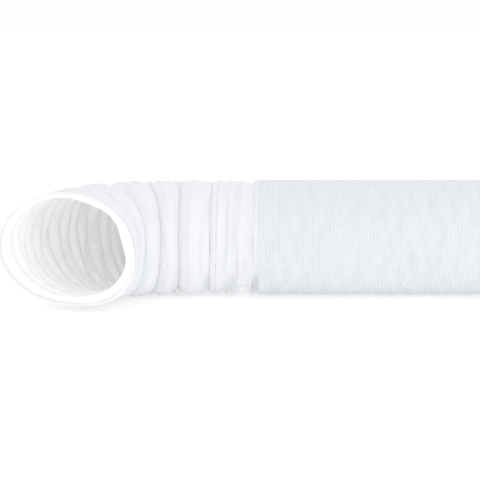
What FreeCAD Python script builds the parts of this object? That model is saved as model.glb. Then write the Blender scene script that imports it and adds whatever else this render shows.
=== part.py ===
import FreeCAD
import Part
import math
import os

# Flexible air duct, nominal bore 100 mm: two plies of thin PVC film with a spring-wire helix between.
#
# The far end is a closed pack of turns along +X. Next to it a few turns are drawn out straight,
# and the near end is drawn out and bent into an elbow that opens towards -Y. The duct lies on z = 0.
# The real film and wire run unbroken from end to end. Here they are divided so that each length can
# slide or turn on its neighbour, and every length is an inner ply, an outer ply and a wire. Each turn
# of the wire's helix is a closed ring of the same size, square to the duct.
#
# Units are millimetres. The origin is under the middle of the whole object, on the surface it lies on.

# ---- driving dimensions ----
SPIGOT_DIAMETER = 100.0       # the pipe stub that the duct is pushed over
SPIGOT_CLEARANCE = 0.5        # radial, between that stub and the inner ply
PLY_THICKNESS = 0.25          # one ply of film
WIRE_DIAMETER = 1.0
WIRE_CLEARANCE = 0.2          # radial, between the wire and each ply

PACK_LENGTHS = 7              # lengths that the closed pack is divided into
PACK_TURNS = 12               # turns of wire in one of them
CLOSED_PITCH = 3.0            # one turn with its film folded up

DRAWN_RINGS = 3               # stiff rings of film in the straight, drawn-out part
DRAWN_TURNS = 2               # turns of wire for each ring
DRAWN_PITCH = 11.0            # one turn drawn out

ELBOW_LENGTHS = 5             # lengths that the elbow is divided into
ELBOW_TURNS = 4               # turns of wire in one of them
ELBOW_ANGLE = 78.0            # the whole elbow, in degrees
ELBOW_RADIUS = 108.0          # of its centre line

HEM_LENGTH = 5.0              # welded band past the last turn, at both ends

JOINT_GAP = 0.3               # along the duct, between neighbouring lengths

# ---- sizes that follow ----
BORE_RADIUS = SPIGOT_DIAMETER / 2 + SPIGOT_CLEARANCE
COIL_RADIUS = BORE_RADIUS + PLY_THICKNESS + WIRE_CLEARANCE + WIRE_DIAMETER / 2
OUTER_PLY_RADIUS = COIL_RADIUS + WIRE_DIAMETER / 2 + WIRE_CLEARANCE
DUCT_RADIUS = OUTER_PLY_RADIUS + PLY_THICKNESS

PACK_STEP = PACK_TURNS * CLOSED_PITCH
DRAWN_STEP = DRAWN_TURNS * DRAWN_PITCH
RING_LENGTH = DRAWN_TURNS * CLOSED_PITCH      # what is left of a step when it is squeezed shut
DRAWN_LENGTH = DRAWN_RINGS * DRAWN_STEP
PACK_END = DRAWN_LENGTH + PACK_LENGTHS * PACK_STEP

ELBOW_STEP = ELBOW_ANGLE / ELBOW_LENGTHS
ELBOW_PITCH = ELBOW_STEP / ELBOW_TURNS        # in degrees
ANGLE_GAP = math.degrees(JOINT_GAP / ELBOW_RADIUS)

# Distances along x start at the elbow's first turn, until START puts the middle at the origin.
MOUTH_SIN = math.sin(math.radians(ELBOW_ANGLE))
MOUTH_COS = math.cos(math.radians(ELBOW_ANGLE))
X_LOW = -(ELBOW_RADIUS + DUCT_RADIUS) * MOUTH_SIN - HEM_LENGTH * MOUTH_COS
X_HIGH = PACK_END + HEM_LENGTH
Y_LOW = -ELBOW_RADIUS * (1 - MOUTH_COS) - DUCT_RADIUS * MOUTH_COS - HEM_LENGTH * MOUTH_SIN
Y_HIGH = DUCT_RADIUS
START = FreeCAD.Vector(-(X_LOW + X_HIGH) / 2, -(Y_LOW + Y_HIGH) / 2, DUCT_RADIUS)
ELBOW_CENTRE = START + FreeCAD.Vector(0, -ELBOW_RADIUS, 0)

ALONG = FreeCAD.Vector(1, 0, 0)
ACROSS = FreeCAD.Vector(0, 1, 0)
UP = FreeCAD.Vector(0, 0, 1)


def straight_place(distance):
    """The centre of the duct, and its direction away from the elbow's inner wall, at a distance."""
    return START + ALONG * distance, ACROSS


def elbow_place(angle):
    """The same at an angle round the elbow, in degrees from its first turn towards the mouth."""
    swing = math.radians(angle)
    outward = FreeCAD.Vector(-math.sin(swing), math.cos(swing), 0)
    return ELBOW_CENTRE + outward * ELBOW_RADIUS, outward


def towards_mouth(outward):
    return FreeCAD.Vector(-outward.y, outward.x, 0)


def tube(centre, direction, length, inner_radius, outer_radius):
    outside = Part.makeCylinder(outer_radius, length, centre, direction)
    inside = Part.makeCylinder(inner_radius, length, centre, direction)
    return outside.cut(inside)


def straight_film(start, end, inner_radius):
    """One ply round the straight part, between two distances."""
    centre, outward = straight_place(start)
    return tube(centre, ALONG, end - start, inner_radius, inner_radius + PLY_THICKNESS)


def elbow_film(start, end, inner_radius):
    """One ply round the elbow, between two angles."""
    centre, outward = elbow_place(start)
    facing = towards_mouth(outward)
    outline = Part.Wire(Part.makeCircle(inner_radius + PLY_THICKNESS, centre, facing))
    hole = Part.Wire(Part.makeCircle(inner_radius, centre, facing))
    section = Part.makeFace([outline, hole], "Part::FaceMakerBullseye")
    return section.revolve(ELBOW_CENTRE, UP, end - start)


def coil(place, first, step, turns):
    """Wire rings at even places, one for each turn, in one shape."""
    rings = []
    for turn in range(turns):
        centre, outward = place(first + step * turn)
        rings.append(Part.makeTorus(COIL_RADIUS, WIRE_DIAMETER / 2, centre, towards_mouth(outward)))
    return Part.makeCompound(rings)


def save(name, shape):
    shape.exportStep(os.path.join("parts", name + ".step"))


def save_plies(inner_name, outer_name, film, start, end):
    save(inner_name, film(start, end, BORE_RADIUS))
    save(outer_name, film(start, end, OUTER_PLY_RADIUS))


def build_pack():
    """The closed pack, in lengths numbered from the far end towards the elbow."""
    for number in range(1, PACK_LENGTHS + 1):
        name = f"pack_{number}"
        end = PACK_END - (number - 1) * PACK_STEP
        start = end - PACK_STEP
        save_plies(name + "_inner_film", name + "_outer_film", straight_film, start + JOINT_GAP, end)
        save(name + "_wire", coil(straight_place, start + CLOSED_PITCH / 2, CLOSED_PITCH, PACK_TURNS))


def build_drawn():
    """The drawn-out part: stiff rings of film, each with a loose fold of film on its far side."""
    for number in range(1, DRAWN_RINGS + 1):
        name = f"drawn_{number}"
        end = DRAWN_LENGTH - (number - 1) * DRAWN_STEP
        start = end - DRAWN_STEP
        ring_end = start + RING_LENGTH
        save_plies(name + "_inner_ring", name + "_outer_ring", straight_film, start + JOINT_GAP, ring_end)
        save_plies(name + "_inner_fold", name + "_outer_fold", straight_film, ring_end + JOINT_GAP, end)
        save(name + "_wire", coil(straight_place, start + RING_LENGTH / 2, DRAWN_PITCH, DRAWN_TURNS))


def build_elbow():
    """The elbow, in lengths numbered towards the mouth."""
    for number in range(1, ELBOW_LENGTHS + 1):
        name = f"elbow_{number}"
        start = (number - 1) * ELBOW_STEP
        end = start + ELBOW_STEP
        film_end = end - ANGLE_GAP
        save_plies(name + "_inner_film", name + "_outer_film", elbow_film, start, film_end)
        save(name + "_wire", coil(elbow_place, start + ELBOW_PITCH / 2, ELBOW_PITCH, ELBOW_TURNS))


def build_hems():
    """The plies welded to each other past the last turn, which shuts the wire in."""
    centre, outward = elbow_place(ELBOW_ANGLE)
    save("mouth_hem", tube(centre, towards_mouth(outward), HEM_LENGTH, BORE_RADIUS, DUCT_RADIUS))
    centre, outward = straight_place(PACK_END)
    far_start = centre + ALONG * JOINT_GAP
    save("far_hem", tube(far_start, ALONG, HEM_LENGTH - JOINT_GAP, BORE_RADIUS, DUCT_RADIUS))


os.makedirs("parts", exist_ok=True)
build_pack()
build_drawn()
build_elbow()
build_hems()
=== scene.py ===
import math

import bpy
import numpy as np
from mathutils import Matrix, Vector


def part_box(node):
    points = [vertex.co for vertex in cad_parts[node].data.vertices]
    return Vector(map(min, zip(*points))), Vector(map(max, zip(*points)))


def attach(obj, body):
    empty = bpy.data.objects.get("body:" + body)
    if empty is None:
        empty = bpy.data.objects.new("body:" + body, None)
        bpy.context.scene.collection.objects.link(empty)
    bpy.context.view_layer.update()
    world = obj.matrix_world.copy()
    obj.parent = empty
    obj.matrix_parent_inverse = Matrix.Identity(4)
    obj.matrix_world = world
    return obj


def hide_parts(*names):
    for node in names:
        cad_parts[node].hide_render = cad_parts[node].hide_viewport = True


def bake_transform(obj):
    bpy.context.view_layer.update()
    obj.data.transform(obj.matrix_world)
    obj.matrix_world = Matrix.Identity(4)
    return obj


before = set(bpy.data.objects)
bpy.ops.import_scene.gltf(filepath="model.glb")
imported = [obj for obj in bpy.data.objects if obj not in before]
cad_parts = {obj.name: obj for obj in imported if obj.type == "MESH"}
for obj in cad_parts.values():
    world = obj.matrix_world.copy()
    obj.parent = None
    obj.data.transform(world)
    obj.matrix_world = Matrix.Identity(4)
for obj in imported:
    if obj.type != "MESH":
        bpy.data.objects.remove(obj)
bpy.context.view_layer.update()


# ---- Film ----
# Two plies of thin white PVC are laminated over a spring-wire helix, so the wall stands out at each
# turn of wire and sags inwards between turns. Lengths are millimetres from the elbow's first turn,
# positive towards the closed pack and negative round the elbow.

MM_PER_METRE = 1000.0
outer_low, outer_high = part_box("pack_1_outer_film")
start_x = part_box("elbow_1_outer_film")[1][0] * MM_PER_METRE
axis_y = (outer_low[1] + outer_high[1]) / 2 * MM_PER_METRE
duct_radius = (outer_high[2] - outer_low[2]) / 2 * MM_PER_METRE
WALL = 1.9
bore_radius = duct_radius - WALL

BEND_RADIUS = 108.0
ELBOW_ANGLE = math.radians(78.0)
ELBOW_TURNS = 20
elbow_length = BEND_RADIUS * ELBOW_ANGLE
DRAWN_LENGTH = 66.0
PACK_LENGTH = 252.0
far_end = DRAWN_LENGTH + PACK_LENGTH

elbow_pitch = elbow_length / ELBOW_TURNS
DRAWN_PITCH = 11.0
CLOSED_PITCH = 3.0

# The elbow's inner side gathers into a few big folds, parted by creases, up to the straight part.
# The last crease lies past the mouth, so that the fold nearest the mouth doesn't close there.
STRAIGHT_CREASES = [44.0, 28.0]
ELBOW_CREASE_DEGREES = (-12.0, 4.5, 20.0, 37.0, 55.0, 74.0)
elbow_creases = [-BEND_RADIUS * math.radians(degrees) for degrees in ELBOW_CREASE_DEGREES]
creases = np.array(STRAIGHT_CREASES + elbow_creases + [-200.0])
FOLD_HEIGHT = 5.4
FOLD_MIDDLE = 0.7      # share of a fold's height that leaves the wall where it was

# How many turns of wire lie between the elbow's start and each place, a little unevenly spaced.
grid_s = np.linspace(-elbow_length - 20, far_end + 20, 6000)
even_turns = np.where(
    grid_s < 0,
    grid_s / elbow_pitch,
    np.where(
        grid_s < DRAWN_LENGTH,
        grid_s / DRAWN_PITCH,
        DRAWN_LENGTH / DRAWN_PITCH + (grid_s - DRAWN_LENGTH) / CLOSED_PITCH,
    ),
)
grid_turns = even_turns + 0.10 * np.sin(grid_s / 6.1 + 0.4) + 0.07 * np.sin(grid_s / 3.7 + 2.0)


def turns_at(s):
    return float(np.interp(s, grid_s, grid_turns))


def between(value, low, high):
    """Smoothly from 0 below low to 1 above high."""
    share = np.clip((value - low) / (high - low), 0, 1)
    return share * share * (3 - 2 * share)


def packed_share(s):
    """0 where the duct is drawn out, 1 in the closed pack."""
    return between(s, DRAWN_LENGTH - 4, DRAWN_LENGTH + 2)


def calm(s):
    """0 at either end, where the hem holds the film even, and 1 a little way in."""
    return between(s + elbow_length, 0, 5) * between(far_end - s, 0, 2)


def ripple(s, angle, seed, waves, longest, most_round, least_round=0):
    """Smooth unevenness between about -1 and 1, which closes on itself round the duct."""
    pick = np.random.default_rng(seed)
    total = 0
    for _ in range(waves):
        round_count = pick.integers(least_round, most_round + 1)
        length = longest * pick.uniform(0.4, 1.0)
        direction = pick.choice([-1, 1])
        start = pick.uniform(0, 6.28)
        total = total + np.sin(direction * 2 * math.pi * s / length + round_count * angle + start)
    return total / math.sqrt(waves)


def wall_shift(s, angle):
    """How far the whole wall, wire and plies alike, stands out of true."""
    in_pack = packed_share(s)
    pack_uneven = 0.45 + 0.16 * ripple(s, angle, seed=3, waves=8, longest=40, most_round=4)
    open_uneven = 0.45 * ripple(s, angle, seed=5, waves=8, longest=45, most_round=5)
    # Creases bow as they go round, and the folds fade out towards the bend's outer side and the pack.
    bow = 1.6 * np.sin(angle * 2 + 0.6) + 1.2 * np.sin(angle * 3 + s / 31)
    fold_number = np.interp(s + bow, creases[::-1], np.arange(len(creases)))
    fold = np.abs(np.sin(math.pi * fold_number)) ** 0.75
    folded = between(-np.cos(angle), -0.85, 0.7) * between(38 - s, 0, 30)
    uneven = in_pack * pack_uneven + (1 - in_pack) * open_uneven
    return uneven + FOLD_HEIGHT * (fold - FOLD_MIDDLE) * folded


CREST_ROUNDING = 0.004      # rounds the film over the wire, where a plain sine would come to a point
CREST_DROP = 0.063          # what that rounding adds at the crest
OUTER_SKIN = 0.05           # the outer face starts this far inside the duct's radius
INNER_SKIN = 0.25           # and the inner face this far outside the bore's
OPEN_SAG = 2.1
GATHERED_SAG = 1.3
PACKED_SAG = 0.6
OPEN_SAG_INSIDE = 2.9
PACKED_SAG_INSIDE = 3.2


def wall(turn, angle, outside):
    """Radius of one face of the wall, and the distance along the duct that the turn has reached."""
    s = np.interp(turn, grid_turns, grid_s)
    in_pack = packed_share(s)
    is_open = 1 - in_pack
    gathered = between(s, 30, 50) * is_open
    crest = np.sin(math.pi * (turn + angle / (2 * math.pi)))
    sag = (np.sqrt(crest ** 2 + CREST_ROUNDING) - CREST_DROP) ** (0.75 + 0.5 * in_pack)
    # The big folds press the film flat on the bend's inner side, and it hangs slacker underneath.
    pressed = 1 - 0.88 * between(-np.cos(angle), -0.1, 0.8) * between(24 - s, 0, 30)
    slack = 1 - 0.3 * np.sin(angle)
    uneven = 1 + 0.35 * ripple(s, angle, seed=7, waves=9, longest=22, most_round=7)
    wrinkle = ripple(s, angle, seed=9, waves=12, longest=16, most_round=46, least_round=12)
    wrinkle = 0.14 * wrinkle * is_open * sag
    streak = 0.13 * ripple(s, angle, seed=11, waves=14, longest=7, most_round=26) * in_pack
    if outside:
        depth = PACKED_SAG * in_pack + is_open * (OPEN_SAG + GATHERED_SAG * gathered) * pressed * slack
        radius = duct_radius - OUTER_SKIN + (wrinkle + streak - depth * uneven * sag) * calm(s)
    else:
        depth = PACKED_SAG_INSIDE * in_pack + OPEN_SAG_INSIDE * is_open
        radius = bore_radius + INNER_SKIN + (wrinkle - depth * uneven * sag) * calm(s)
    return radius + wall_shift(s, angle) * calm(s), s


# The mouth is pressed oval: wider than it is high, and fuller low down on the bend's inner side.
OVAL_WIDER = 0.165
OVAL_LOWER = 0.073
OVAL_INWARD = 3.4
OVAL_STARTS = math.radians(15)
FULLER = 0.14
FULLER_AT = math.radians(228)
FULLER_SPREAD = 0.55
FLOOR_GAP = 0.05


def place(s, angle, radius, lowest=FLOOR_GAP):
    """A point of the duct in metres."""
    turned = np.clip(-s / BEND_RADIUS, 0, ELBOW_ANGLE)
    past = np.where(s < -elbow_length, -s - elbow_length, 0) - np.where(s > 0, s, 0)
    oval = between(turned, OVAL_STARTS, ELBOW_ANGLE)
    fuller = np.exp(-(((angle % (2 * math.pi)) - FULLER_AT) / FULLER_SPREAD) ** 2)
    full = radius * (1 + FULLER * oval * fuller)
    wide = full * (1 + OVAL_WIDER * oval) * np.cos(angle) - OVAL_INWARD * oval
    tall = full * (1 - OVAL_LOWER * oval) * np.sin(angle)
    reach = BEND_RADIUS + wide
    x = -reach * np.sin(turned) - past * np.cos(turned)
    y = -BEND_RADIUS + reach * np.cos(turned) - past * np.sin(turned)
    z = duct_radius * (1 + OVAL_LOWER * oval) + tall
    return np.stack([start_x + x, axis_y + y, np.maximum(z, lowest)], axis=-1) / MM_PER_METRE


def film_point(turn, angle, outside):
    radius, s = wall(turn, angle, outside)
    return place(s, angle, radius)


class Socket:
    """A shader socket whose arithmetic adds Math nodes."""

    def __init__(self, tree, socket):
        self.tree = tree
        self.socket = socket

    def node(self, kind, settings=None, out=0, **inputs):
        """A new node. An input is named, or numbered as i0, i1 and so on."""
        made = self.tree.nodes.new(kind)
        for key, value in (settings or {}).items():
            setattr(made, key, value)
        for key, value in inputs.items():
            numbered = key[0] == "i" and key[1:].isdigit()
            target = made.inputs[int(key[1:])] if numbered else made.inputs[key]
            if isinstance(value, Socket):
                self.tree.links.new(value.socket, target)
            else:
                target.default_value = value
        return Socket(self.tree, made.outputs[out])

    def maths(self, operation, first, second):
        return self.node("ShaderNodeMath", {"operation": operation}, i0=first, i1=second)

    def __add__(self, other):
        return self.maths("ADD", self, other)

    def __mul__(self, other):
        return self.maths("MULTIPLY", self, other)

    def __sub__(self, other):
        return self.maths("SUBTRACT", self, other)

    def __rsub__(self, other):
        return self.maths("SUBTRACT", other, self)

    __radd__ = __add__
    __rmul__ = __mul__


def new_material(name, **constants):
    """A material, its shader with these constant values, and the object's coordinates."""
    material = bpy.data.materials.new(name)
    material.use_nodes = True
    tree = material.node_tree
    shader = tree.nodes["Principled BSDF"]
    for key, value in constants.items():
        shader.inputs[key.replace("_", " ")].default_value = value
    coordinates = tree.nodes.new("ShaderNodeTexCoord")
    return material, shader, Socket(tree, coordinates.outputs["Object"])


def feed(shader, name, value):
    value.tree.links.new(value.socket, shader.inputs[name])


PACKED_TINT = (0.925, 0.935, 0.955, 1)      # the closed pack's colour is multiplied by this, a little darker and cooler
TINT_LEAD = 0.002                           # the tint starts this far before the pack, in metres
TINT_RISE = 300                             # and is whole after a metre divided by this


def film_material(name, pale, shaded):
    """Soft PVC film: cloudy white with a low sheen and a fine crinkle that catches the light."""
    material, shader, here = new_material(
        name, IOR=1.53, Subsurface_Weight=0.15, Subsurface_Scale=0.0012, Subsurface_Radius=(1, 1, 1)
    )
    cloud = here.node("ShaderNodeTexNoise", Vector=here, Scale=28.0, Detail=5.0, Roughness=0.55)
    crinkle = here.node("ShaderNodeTexNoise", Vector=here, Scale=420.0, Detail=4.0, Roughness=0.6)
    stretched = here.node("ShaderNodeMapping", Vector=here, Scale=(900.0, 60.0, 60.0))
    drawn = here.node("ShaderNodeTexNoise", Vector=stretched, Scale=1.0, Detail=3.0, Roughness=0.6)
    mottled = here.node(
        "ShaderNodeMix", {"data_type": "RGBA"}, out=2, i0=0.7 * cloud + 0.3 * drawn, i6=shaded, i7=pale
    )
    along = here.node("ShaderNodeSeparateXYZ", Vector=here)
    tint_start = (start_x + DRAWN_LENGTH) / MM_PER_METRE - TINT_LEAD
    packed = here.node("ShaderNodeClamp", Value=TINT_RISE * (along - tint_start))
    tinted = here.node(
        "ShaderNodeMix",
        {"data_type": "RGBA", "blend_type": "MULTIPLY"},
        out=2,
        i0=packed,
        i6=mottled,
        i7=PACKED_TINT,
    )
    feed(shader, "Base Color", tinted)
    feed(shader, "Roughness", 0.26 + (0.22 * cloud + 0.10 * crinkle))
    creased = here.node(
        "ShaderNodeBump", Strength=0.35, Distance=0.0004, Height=0.5 * crinkle + 0.5 * drawn
    )
    feed(shader, "Normal", creased)
    return material


film_white = film_material("film_white", (0.875, 0.88, 0.89, 1), (0.80, 0.815, 0.84, 1))
# Painted light: the film's inner face gets a lighter colour and a faint glow, standing in for daylight
# shining through the thin film.
film_inside_painted_glow = film_material("film_inside_painted_glow", (0.985, 0.985, 0.985, 1), (0.955, 0.96, 0.965, 1))
inside_glow_shader = film_inside_painted_glow.node_tree.nodes["Principled BSDF"]
inside_glow_shader.inputs["Emission Color"].default_value = (0.98, 0.99, 1.0, 1)
inside_glow_shader.inputs["Emission Strength"].default_value = 0.08      # painted glow, standing in for daylight that thin film lets in


def finish_piece(piece, material):
    piece.data.materials.clear()
    piece.data.materials.append(material)


def tube_wall(name, rows, around, point):
    """A closed wall made of a ring primitive. point(row share, angle, outside) places its vertices."""
    bpy.ops.object.select_all(action="DESELECT")
    bpy.ops.mesh.primitive_torus_add(
        major_segments=around, minor_segments=2 * rows, major_radius=0.05, minor_radius=0.002
    )
    piece = bpy.context.active_object
    piece.name = name
    piece.data.name = name
    # Each section of the ring runs out along the outer face and back along the inner one.
    outside = np.arange(2 * rows)[None, :] < rows
    angles = (2 * math.pi * np.arange(around) / around)[:, None] + np.zeros((1, 2 * rows))
    shares = np.concatenate([np.linspace(0, 1, rows), np.linspace(1, 0, rows)])[None, :]
    shares = shares + np.zeros_like(angles)

    def both_faces(share, angle):
        return np.where(outside[..., None], point(share, angle, True), point(share, angle, False))

    # Normals come from the shape itself, not from the faces, so a piece and the next one shade alike.
    share_step = 0.02 / rows
    angle_step = 0.002
    spots = both_faces(shares, angles)
    along = both_faces(shares + share_step, angles) - both_faces(shares - share_step, angles)
    across = both_faces(shares, angles + angle_step) - both_faces(shares, angles - angle_step)
    normals = np.cross(along, across)
    normals = normals / np.linalg.norm(normals, axis=-1, keepdims=True)
    middle = spots.mean(axis=0, keepdims=True)
    away = ((spots - middle) * normals).sum(axis=-1, keepdims=True)
    wanted = np.where(outside, 1.0, -1.0)[..., None]
    normals = normals * np.sign(away.mean(axis=0, keepdims=True)) * wanted

    piece.data.vertices.foreach_set("co", spots.reshape(-1).astype(np.float32))
    piece.data.update()
    bpy.ops.object.mode_set(mode="EDIT")
    bpy.ops.mesh.select_all(action="SELECT")
    bpy.ops.mesh.normals_make_consistent(inside=False)
    bpy.ops.object.mode_set(mode="OBJECT")
    bpy.ops.object.shade_smooth()
    piece.data.normals_split_custom_set_from_vertices(normals.reshape(-1, 3).tolist())
    return piece


# ---- Lengths ----
# The film and the spring-steel wire run unbroken through the whole duct. They are parted in the
# middle of each moving length, so that every piece spans one joint.

wire_steel, wire_shader, wire_here = new_material("wire_steel", Metallic=1.0)
wire_grain = wire_here.node("ShaderNodeTexNoise", Vector=wire_here, Scale=700.0, Detail=2.0)
feed(wire_shader, "Roughness", 0.25 + 0.2 * wire_grain)
wire_colour = wire_here.node(
    "ShaderNodeMix",
    {"data_type": "RGBA"},
    out=2,
    i0=wire_grain,
    i6=(0.42, 0.42, 0.44, 1),
    i7=(0.62, 0.62, 0.64, 1),
)
feed(wire_shader, "Base Color", wire_colour)

WIRE_RADIUS = 0.5
WIRE_OUTWARD = 0.05
WIRE_FLOOR_GAP = 0.7
WIRE_POINTS_PER_TURN = 40
FEWEST_WIRE_POINTS = 8
wire_centre = duct_radius - WALL / 2


def wire_piece(name, start, end):
    """Spring wire along the crest of each turn, between two places."""
    from_turn, to_turn = turns_at(start), turns_at(end)
    count = max(FEWEST_WIRE_POINTS, round(abs(to_turn - from_turn) * WIRE_POINTS_PER_TURN))
    turns = np.linspace(from_turn, to_turn, count)
    s = np.interp(turns, grid_turns, grid_s)
    angle = -2 * math.pi * turns
    radius = wire_centre + WIRE_OUTWARD + wall_shift(s, angle) * calm(s)
    spots = place(s, angle, radius, lowest=WIRE_FLOOR_GAP)
    curve = bpy.data.curves.new(name, "CURVE")
    curve.dimensions = "3D"
    curve.bevel_depth = WIRE_RADIUS / MM_PER_METRE
    curve.bevel_resolution = 1
    curve.use_fill_caps = True
    spline = curve.splines.new("POLY")
    spline.points.add(count - 1)
    spline.points.foreach_set("co", np.c_[spots, np.ones(count)].reshape(-1))
    piece = bpy.data.objects.new(name, curve)
    bpy.context.collection.objects.link(piece)
    bpy.ops.object.select_all(action="DESELECT")
    piece.select_set(True)
    bpy.context.view_layer.objects.active = piece
    bpy.ops.object.convert(target="MESH")
    piece = bpy.context.active_object
    bpy.ops.object.shade_smooth()
    return piece


def axis_spot(s):
    return tuple(place(np.array(float(s)), np.array(math.pi / 2), 0.0))


PACK_PIECES = 7
DRAWN_PIECES = 3
ELBOW_PIECES = 5
RING_HALF = 3.0      # half the stiff ring at the elbow end of each drawn-out length
pack_step = PACK_LENGTH / PACK_PIECES
drawn_step = DRAWN_LENGTH / DRAWN_PIECES

# Each moving body, from the far end to the mouth, and where the film is parted in it.
lengths = []
for k in range(1, PACK_PIECES + 1):
    lengths.append((f"pack_{k}", far_end - pack_step * (k - 0.5)))
for k in range(1, DRAWN_PIECES + 1):
    lengths.append((f"drawn_{k}", DRAWN_LENGTH - drawn_step * k + RING_HALF))
for k in range(1, ELBOW_PIECES + 1):
    lengths.append((f"elbow_{k}", -elbow_length * (k - 0.5) / ELBOW_PIECES))

FIRST_ELBOW_STIFF = 5.6
ELBOW_STIFF = 9.8


def bending_span(a, body_b, b):
    """Where the film starts and stops giving way between two lengths.

    In the elbow a piece's two ends lean towards each other, so they stay stiff for a way in.
    """
    if body_b.startswith(("pack", "drawn")):
        return a, b
    if body_b == "elbow_1":
        return 0.0, b + FIRST_ELBOW_STIFF
    return a - ELBOW_STIFF, b + ELBOW_STIFF


MOST_ROWS = 128      # a ring primitive takes no more than twice this
FEWEST_ROWS = 12
PACK_MESH = (8, 240)      # rows a turn, and vertices around
OPEN_MESH = (22, 256)


def film_and_wire(number, start, end, rows_per_turn, around):
    """The film and the wire between two places. The film's inner face is painted lighter than its outer
    one and glows faintly: painted light for daylight through the thin film.
    """
    from_turn, to_turn = turns_at(start), turns_at(end)
    rows = min(MOST_ROWS, max(FEWEST_ROWS, round(abs(to_turn - from_turn) * rows_per_turn)))

    def point(share, angle, outside):
        return film_point(from_turn + (to_turn - from_turn) * share, angle, outside)

    film = tube_wall(f"film_{number:02d}", rows, around, point)
    finish_piece(film, film_white)
    film.data.materials.append(film_inside_painted_glow)
    faces = np.arange(around * 2 * rows) % (2 * rows)
    film.data.polygons.foreach_set("material_index", (faces >= rows).astype(np.int32))
    wire = wire_piece(f"wire_{number:02d}", start, end)
    finish_piece(wire, wire_steel)
    return film, wire


def stand_for(body):
    names = [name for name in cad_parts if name.startswith(body + "_")]
    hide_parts(*[name for name in names if not name.endswith("wire")])
    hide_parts(*[name for name in names if name.endswith("wire")])


far_body, far_middle = lengths[0]
film, wire = film_and_wire(0, far_end, far_middle, *PACK_MESH)
for piece in (film, wire):
    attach(piece, far_body)

for number, ((body_a, a), (body_b, b)) in enumerate(zip(lengths, lengths[1:]), start=1):
    mesh_size = PACK_MESH if body_b.startswith("pack") else OPEN_MESH
    film, wire = film_and_wire(number, a, b, *mesh_size)
    give_start, give_end = bending_span(a, body_b, b)
    for piece in (film, wire):
        axis_spot(give_start)
        axis_spot(give_end)
        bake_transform(piece)
    stand_for(body_a)

mouth_body, mouth_middle = lengths[-1]
film, wire = film_and_wire(len(lengths), mouth_middle, -elbow_length, *OPEN_MESH)
for piece in (film, wire):
    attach(piece, mouth_body)
stand_for(mouth_body)


# ---- Hems ----
# Past the last turn at each end the plies are turned over and welded into a plain white band, with
# a soft rounded lip that is not quite even.

hem_white = film_material("hem_white", (0.93, 0.93, 0.93, 1), (0.88, 0.885, 0.895, 1))
HEM_LENGTH = 5.0
HEM_ROWS = 24
HEM_AROUND = 256
HEM_OUTWARD = 0.1
HEM_SWELL = 0.35
LIP_STARTS = 0.70
LIP_LEAST = 0.12      # share of the hem's thickness that is left at the lip's edge


def hem_piece(name, node, body, begin, direction):
    """A band from begin, running on along the duct in this direction."""

    def point(share, angle, outside):
        into_lip = np.clip((share - LIP_STARTS) / (1 - LIP_STARTS), 0, 1)
        lip = np.sqrt(np.clip(1 - into_lip ** 2, 0, 1))
        swell = HEM_SWELL * np.sin(math.pi * np.clip(share, 0, 1))
        half = (WALL / 2 + swell) * (LIP_LEAST + (1 - LIP_LEAST) * lip)
        sway = 0.25 * ripple(1.0, angle, seed=21, waves=6, longest=40, most_round=7)
        longer = 0.35 * ripple(3.0, angle, seed=23, waves=6, longest=40, most_round=9)
        radius = wire_centre + HEM_OUTWARD + sway * share + half * (1 if outside else -1)
        return place(begin + direction * (HEM_LENGTH + longer * share) * share, angle, radius)

    piece = tube_wall(name, HEM_ROWS, HEM_AROUND, point)
    finish_piece(piece, hem_white)
    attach(piece, body)
    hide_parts(node)


hem_piece("hem_at_mouth", "mouth_hem", mouth_body, -elbow_length, -1)
hem_piece("hem_at_far_end", "far_hem", far_body, far_end, 1)


# ---- Floor, light and camera ----
# The duct lies on a white sweep under an even white sky, with one soft lamp ahead of it to the right.
# The floor glows a little, so it stays white and the shadow on it stays faint.

bpy.ops.object.select_all(action="DESELECT")
bpy.ops.mesh.primitive_plane_add(size=14, location=(0, 0, 0))
floor = bpy.context.active_object
floor.name = "floor"
floor_white = new_material(
    "floor_white",
    Roughness=0.9,
    Base_Color=(0.72, 0.72, 0.72, 1),
    Specular_IOR_Level=0.1,
    Emission_Color=(1, 1, 1, 1),
    Emission_Strength=0.4,
)[0]
floor.data.materials.append(floor_white)

world = bpy.data.worlds.new("studio")
bpy.context.scene.world = world
world.use_nodes = True
sky = world.node_tree.nodes["Background"]
sky.inputs["Color"].default_value = (0.985, 0.99, 1.0, 1)
sky.inputs["Strength"].default_value = 1.0

VIEW_CENTRE_FROM_START = 49.5
VIEW_HEIGHT = 0.0492
middle = Vector(((start_x + VIEW_CENTRE_FROM_START) / MM_PER_METRE, axis_y / MM_PER_METRE, VIEW_HEIGHT))

key_offset = Vector((1.1, -1.3, 0.7))
key_data = bpy.data.lights.new("key_light", "AREA")
key_data.size = 0.6
key_data.energy = 2.4
key_light = bpy.data.objects.new("key_light", key_data)
bpy.context.collection.objects.link(key_light)
key_light.location = middle + key_offset
key_light.rotation_euler = (-key_offset).to_track_quat("-Z", "Y").to_euler()

CAMERA_ELEVATION = math.radians(9.17)
CAMERA_DISTANCE = 1.5
camera_data = bpy.data.cameras.new("camera")
camera_data.lens = 122.0
camera_data.sensor_width = 36.0
camera_data.clip_end = 50
camera = bpy.data.objects.new("camera", camera_data)
bpy.context.collection.objects.link(camera)
towards_camera = Vector((0, -math.cos(CAMERA_ELEVATION), math.sin(CAMERA_ELEVATION)))
camera.location = middle + towards_camera * CAMERA_DISTANCE
camera.rotation_euler = (-towards_camera).to_track_quat("-Z", "Y").to_euler()
bpy.context.scene.camera = camera
bpy.context.scene.view_settings.view_transform = "Standard"
